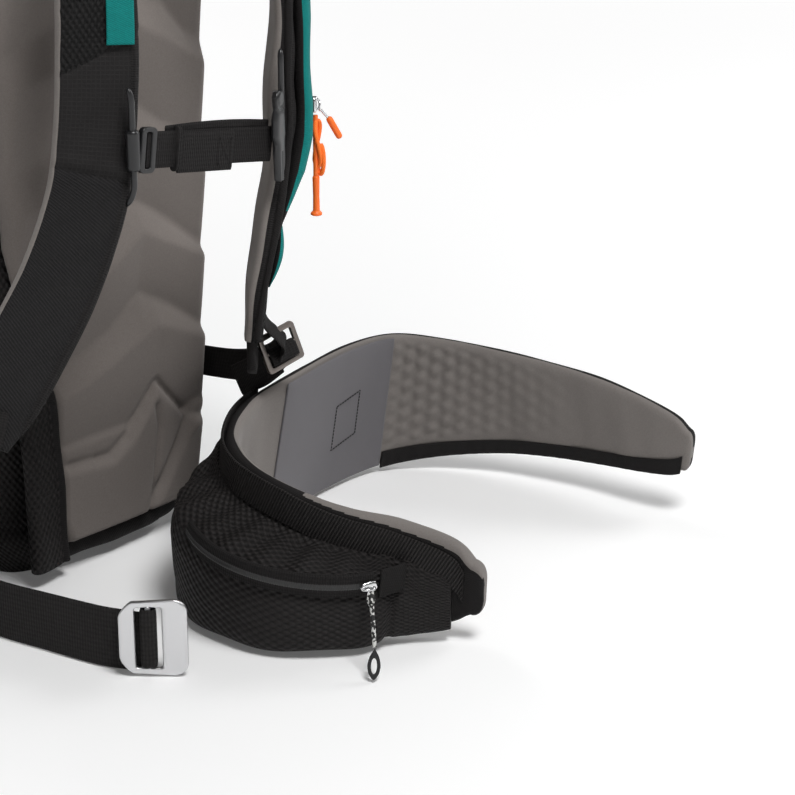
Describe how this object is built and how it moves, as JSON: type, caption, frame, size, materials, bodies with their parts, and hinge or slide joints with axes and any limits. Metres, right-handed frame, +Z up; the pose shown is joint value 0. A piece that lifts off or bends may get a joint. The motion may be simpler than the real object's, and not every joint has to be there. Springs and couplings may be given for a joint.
{
  "type": "avalanche airbag backpack",
  "caption": "Ski touring backpack with removable airbag system, moulded back panel, shoulder harness and hip belt lifted off in front",
  "frame": {"origin": "on the ground under the middle of the back panel, where the wearer's side of the bag stands", "axes": "+Z up, +X to the wearer's left, -Y toward the wearer"},
  "size_m": [0.5804, 0.5631, 0.6014],
  "materials": {
    "pack_cloth": "dobby weave",
    "panel_grey": "laminated foam",
    "pad_black": "ripstop",
    "lining_grey": "brushed",
    "patch_grey": "smooth",
    "webbing": "ribbed webbing",
    "teal_cloth": "mesh",
    "zip_tape": "coil zip",
    "slider_metal": "polished",
    "buckle_metal": "satin",
    "lock_metal": "satin",
    "plastic_black": "moulded",
    "pull_orange": "matte",
    "cord_orange": "braided",
    "cord_black": "braided",
    "pull_rubber": "matte",
    "sheet_plastic": "moulded",
    "stay_metal": "mill",
    "cartridge_paint": "satin",
    "inflator_metal": "anodised",
    "airbag_cloth": "ripstop",
    "grip_red": "moulded"
  },
  "bodies": {
    "pack": {"base_panel": "pack_cloth", "airbag_lid": "pack_cloth", "back_wall": "pack_cloth", "front_panel": "pack_cloth", "side_panel_left": "pack_cloth", "side_panel_right": "pack_cloth", "back_pad": "panel_grey", "back_pad_hem": "pack_cloth", "frame_sheet": "sheet_plastic", "frame_stays": "stay_metal", "inflator": "inflator_metal", "airbag_neck": "inflator_metal", "folded_airbag": "airbag_cloth", "tool_pocket": "pack_cloth", "main_zip": "zip_tape", "tool_zip": "zip_tape", "burst_zip": "zip_tape", "compression_straps_low": "webbing", "compression_straps_high": "webbing", "axe_loops": "webbing", "strap_pad_left": "pad_black", "strap_pad_right": "pad_black", "strap_linings": "lining_grey", "trigger_garage": "teal_cloth", "garage_zip": "zip_tape", "load_lifters": "webbing", "lower_webbings": "webbing", "sternum_rails": "plastic_black", "hip_webbings": "webbing"},
    "belt": {"belt_core": "pad_black", "belt_lining": "lining_grey", "belt_cover": "pack_cloth", "lumbar_patch": "patch_grey", "belt_tongue": "webbing", "belt_band": "webbing", "belt_edge_strip": "pack_cloth", "belt_pocket": "pack_cloth", "pocket_zip": "zip_tape"},
    "pocket_slider": {"pocket_slider": "slider_metal"},
    "pocket_pull": {"pocket_pull_cord": "cord_black", "pocket_pull_loop": "pull_rubber"},
    "buckle_plate": {"buckle_plate": "buckle_metal"},
    "buckle_hook": {"buckle_hook": "buckle_metal"},
    "sternum_strap": {"sternum_clip": "plastic_black", "sternum_ladder": "plastic_black", "sternum_webbing": "webbing", "sternum_keeper": "webbing", "sternum_hook": "plastic_black"},
    "ladder_lock_left": {"ladder_lock_left": "lock_metal"},
    "ladder_lock_right": {"ladder_lock_right": "lock_metal"},
    "garage_slider": {"garage_slider": "slider_metal"},
    "garage_pull": {"garage_pull_cord": "cord_orange", "garage_toggle": "pull_orange"},
    "trigger": {"trigger_grip": "grip_red", "trigger_cable": "inflator_metal"},
    "release_pin": {"release_pin": "inflator_metal"},
    "cartridge": {"cartridge": "cartridge_paint"},
    "haul_loop": {"haul_loop": "webbing"},
    "main_zip_slider": {"main_zip_slider": "slider_metal"},
    "tool_zip_slider": {"tool_zip_slider": "slider_metal"}
  },
  "joints": [
    {"name": "belt_pull_off", "type": "slide", "parent": "pack", "child": "belt", "axis": [0, -1, 0], "range_m": [0, 0.1]},
    {"name": "pocket_zip_run", "type": "hinge", "parent": "belt", "child": "pocket_slider", "pos_m": [0.017, -0.192, 0.066], "axis": [0, -0.125, 0.9922], "range_deg": [-86, 0]},
    {"name": "pocket_pull_swing", "type": "hinge", "parent": "pocket_slider", "child": "pocket_pull", "pos_m": [-0.02554, -0.28179, 0.05169], "axis": [-0.9037, 0.4281, 0], "range_deg": [0, 35]},
    {"name": "buckle_plate_swing", "type": "hinge", "parent": "pack", "child": "buckle_plate", "pos_m": [-0.146, -0.168, 0.0285], "axis": [0, 0, 1], "range_deg": [-25, 25]},
    {"name": "buckle_hook_swing", "type": "hinge", "parent": "pack", "child": "buckle_hook", "pos_m": [0.15, 0.168, 0.026], "axis": [0, 0, 1], "range_deg": [-30, 30]},
    {"name": "sternum_height", "type": "slide", "parent": "pack", "child": "sternum_strap", "axis": [0, 0, 1], "range_m": [0, 0.03]},
    {"name": "lock_left_tilt", "type": "hinge", "parent": "pack", "child": "ladder_lock_left", "pos_m": [0.079, -0.104, 0.163], "axis": [0.959, -0.1514, 0.2397], "range_deg": [-15, 15]},
    {"name": "lock_right_tilt", "type": "hinge", "parent": "pack", "child": "ladder_lock_right", "pos_m": [-0.222, -0.1, 0.143], "axis": [0.7235, -0.5879, -0.3618], "range_deg": [-15, 15]},
    {"name": "garage_zip_run", "type": "slide", "parent": "pack", "child": "garage_slider", "axis": [0, 0, 1], "range_m": [0, 0.056]},
    {"name": "garage_pull_swing", "type": "hinge", "parent": "garage_slider", "child": "garage_pull", "pos_m": [0.11311, -0.11093, 0.334], "axis": [-0.6691, -0.7431, 0], "range_deg": [0, 50]},
    {"name": "trigger_pull", "type": "slide", "parent": "pack", "child": "trigger", "axis": [0, 0, -1], "range_m": [0, 0.016]},
    {"name": "release_pin_travel", "type": "slide", "parent": "pack", "child": "release_pin", "axis": [1, 0, 0], "range_m": [0, 0.008]},
    {"name": "cartridge_unscrew", "type": "slide", "parent": "pack", "child": "cartridge", "axis": [0, 0, -1], "range_m": [0, 0.015]},
    {"name": "haul_loop_fold", "type": "hinge", "parent": "pack", "child": "haul_loop", "pos_m": [0, -0.001, 0.562], "axis": [1, 0, 0], "range_deg": [0, 60]},
    {"name": "main_zip_run", "type": "slide", "parent": "pack", "child": "main_zip_slider", "axis": [0, 0, 1], "range_m": [-0.2, 0]},
    {"name": "tool_zip_run", "type": "slide", "parent": "pack", "child": "tool_zip_slider", "axis": [0, 0, 1], "range_m": [-0.25, 0]}
  ],
  "couplings": [
    {"joint": "release_pin_travel", "follows": "trigger_pull", "ratio": 0.5}
  ]
}
